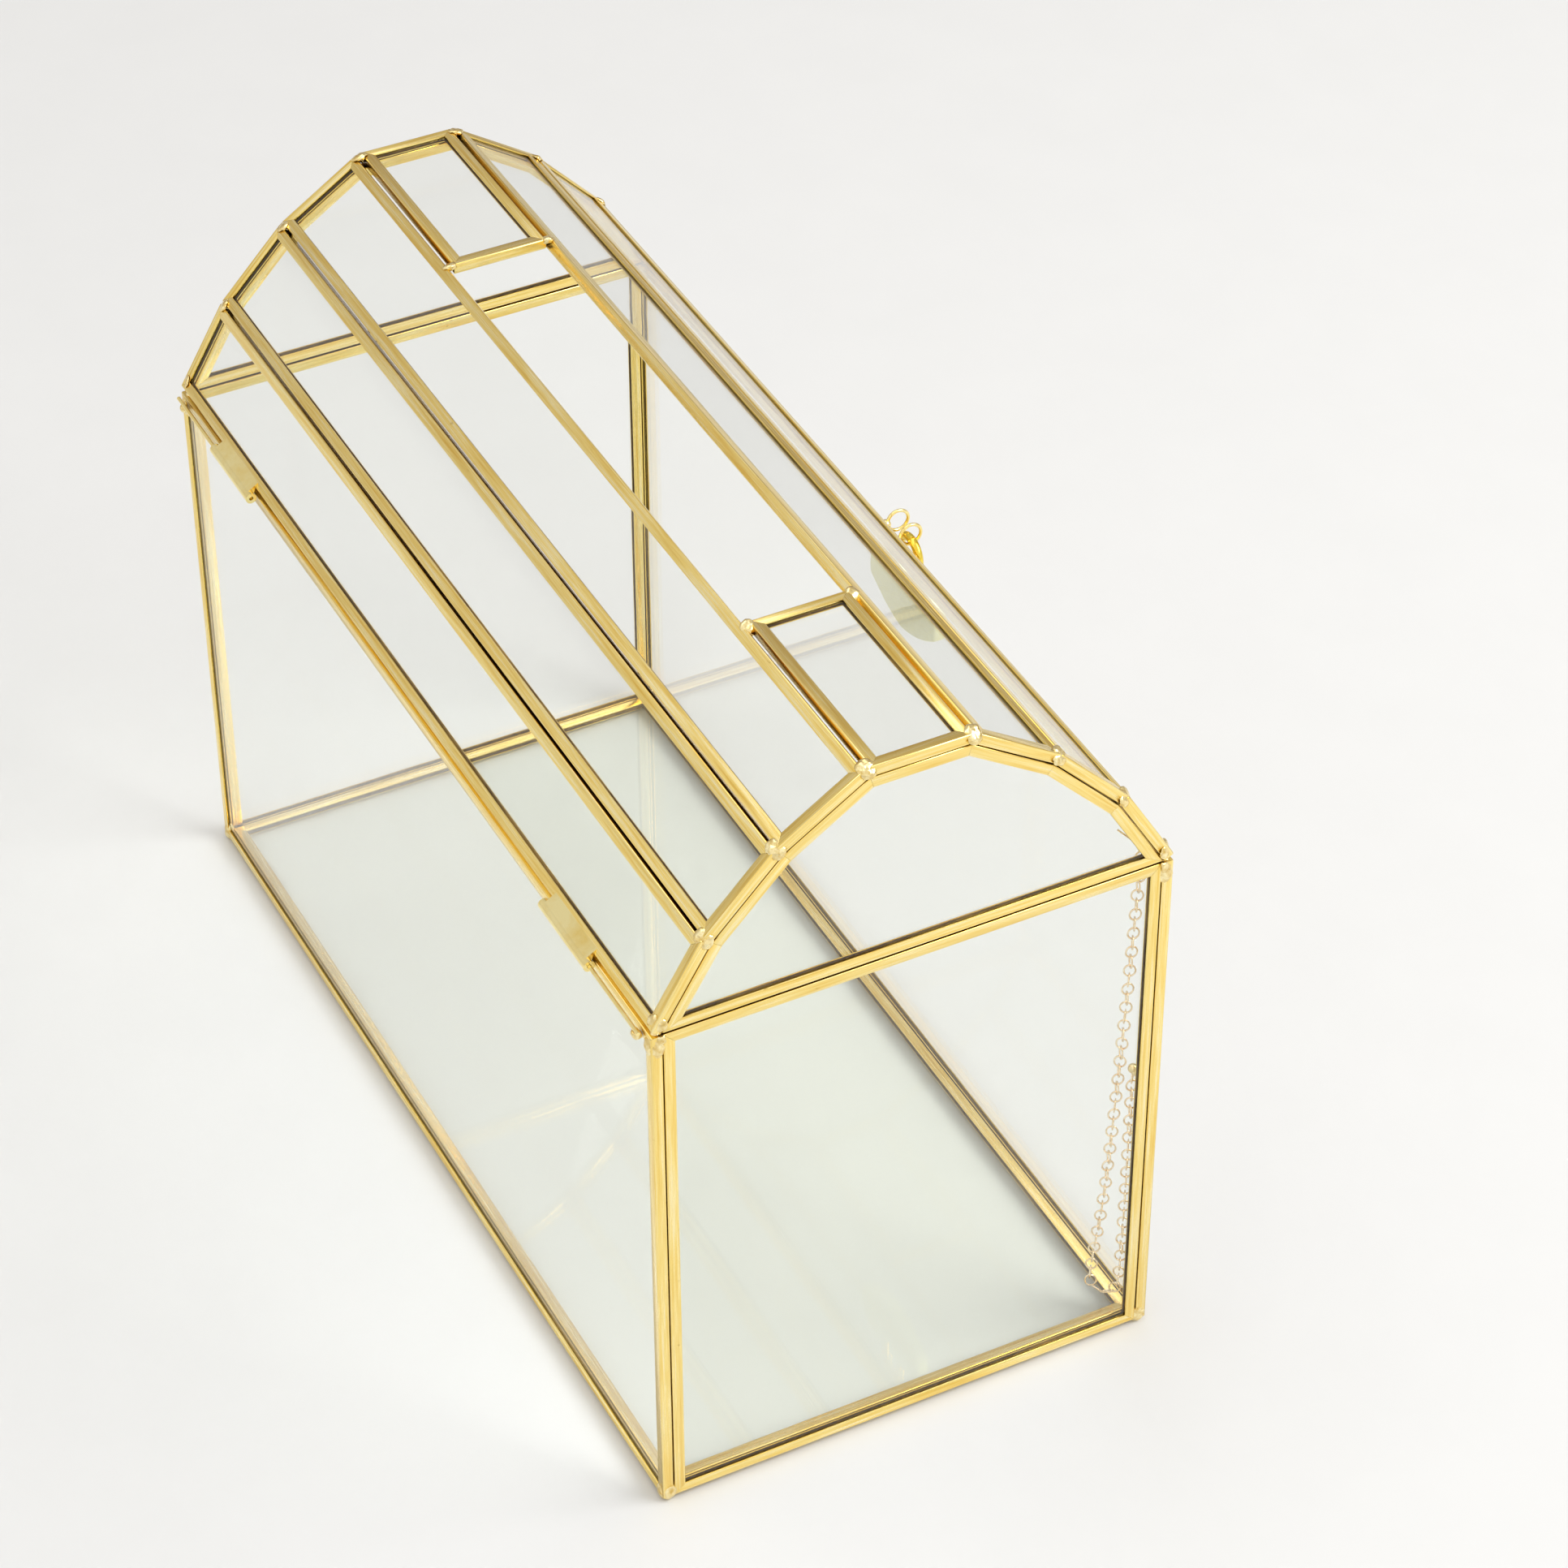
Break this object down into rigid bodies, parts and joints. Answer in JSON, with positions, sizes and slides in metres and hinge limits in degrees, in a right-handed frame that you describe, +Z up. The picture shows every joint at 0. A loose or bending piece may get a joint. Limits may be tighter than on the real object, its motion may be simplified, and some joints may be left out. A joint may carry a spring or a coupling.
{
  "type": "wedding card box",
  "caption": "Glass wedding card box in gold cames, shaped like a treasure chest, with a card slot in its hinged lid, a stay chain and a heart padlock.",
  "frame": {"origin": "centre of the footprint, on the surface that the box stands on", "axes": "+X along the box, -Y towards the lock, +Y towards the hinges, +Z up"},
  "size_m": [0.3122, 0.1591, 0.2316],
  "materials": {
    "gold_came": "brushed bright gold",
    "clear_glass": "clear, faint grey-green",
    "gold_solder": "gold-plated solder, lumpy",
    "gold_wire": "bright gold wire",
    "chain_wire": "champagne gold",
    "lock_case": "satin pale gold",
    "lock_plug": "satin",
    "lock_shackle": "polished"
  },
  "bodies": {
    "box_body": {"back_came": "gold_came", "back_glass": "clear_glass", "body_lock_ring": "gold_wire", "chain_post_eye": "gold_solder", "floor_came": "gold_came", "floor_glass": "clear_glass", "front_came": "gold_came", "front_glass": "clear_glass", "left_end_came": "gold_came", "left_end_glass": "clear_glass", "left_hinge_pin": "gold_wire", "left_pin_solder": "gold_solder", "right_end_came": "gold_came", "right_end_glass": "clear_glass", "right_hinge_pin": "gold_wire", "right_pin_solder": "gold_solder", "rim_solder": "gold_solder", "solder_feet": "gold_solder"},
    "lid": {"chain_lid_eye": "gold_solder", "gable_left_came": "gold_came", "gable_left_glass": "clear_glass", "gable_right_came": "gold_came", "gable_right_glass": "clear_glass", "gable_solder_left": "gold_solder", "gable_solder_right": "gold_solder", "left_hinge_tube": "gold_wire", "lid_back_high_came": "gold_came", "lid_back_high_glass": "clear_glass", "lid_back_low_came": "gold_came", "lid_back_low_glass": "clear_glass", "lid_back_mid_came": "gold_came", "lid_back_mid_glass": "clear_glass", "lid_front_high_came": "gold_came", "lid_front_high_glass": "clear_glass", "lid_front_low_came": "gold_came", "lid_front_low_glass": "clear_glass", "lid_front_mid_came": "gold_came", "lid_front_mid_glass": "clear_glass", "lid_lock_ring": "gold_wire", "lid_top_left_came": "gold_came", "lid_top_left_glass": "clear_glass", "lid_top_right_came": "gold_came", "lid_top_right_glass": "clear_glass", "right_hinge_tube": "gold_wire", "slot_solder": "gold_solder"},
    "lid_chain": {"lid_chain_strand": "chain_wire"},
    "post_chain": {"post_chain_strand": "chain_wire"},
    "lock_shackle": {"padlock_shackle": "lock_shackle"},
    "lock_case": {"padlock_case": "lock_case"},
    "lock_plug": {"padlock_plug": "lock_plug"}
  },
  "joints": [
    {"name": "lid_hinge", "type": "hinge", "parent": "box_body", "child": "lid", "pos_m": [0, 0.07595, 0.1673], "axis": [-1, 0, 0], "range_deg": [0, 72]},
    {"name": "lid_chain_swing", "type": "hinge", "parent": "lid", "child": "lid_chain", "pos_m": [-0.1478, -0.068, 0.1673], "axis": [-1, 0, 0], "range_deg": [-57.15, 0], "deforming": ["lid_chain_strand"]},
    {"name": "post_chain_swing", "type": "hinge", "parent": "box_body", "child": "post_chain", "pos_m": [-0.1484, -0.0688, 0.091], "axis": [1, 0, 0], "range_deg": [0, 130.93], "deforming": ["post_chain_strand"]},
    {"name": "padlock_swing", "type": "hinge", "parent": "box_body", "child": "lock_shackle", "pos_m": [-0.006, -0.07782, 0.16915], "axis": [-1, 0, 0], "range_deg": [0, 70]},
    {"name": "padlock_release", "type": "slide", "parent": "lock_shackle", "child": "lock_case", "axis": [0, 0, -1], "range_m": [0, 0.004]},
    {"name": "plug_turn", "type": "hinge", "parent": "lock_case", "child": "lock_plug", "pos_m": [-0.006, -0.07782, 0.14291], "axis": [0, -1, 0], "range_deg": [0, 90]}
  ],
  "couplings": [
    {"joint": "lid_chain_swing", "follows": "lid_hinge", "ratio": -0.79236},
    {"joint": "post_chain_swing", "follows": "lid_hinge", "ratio": 1.8171}
  ]
}
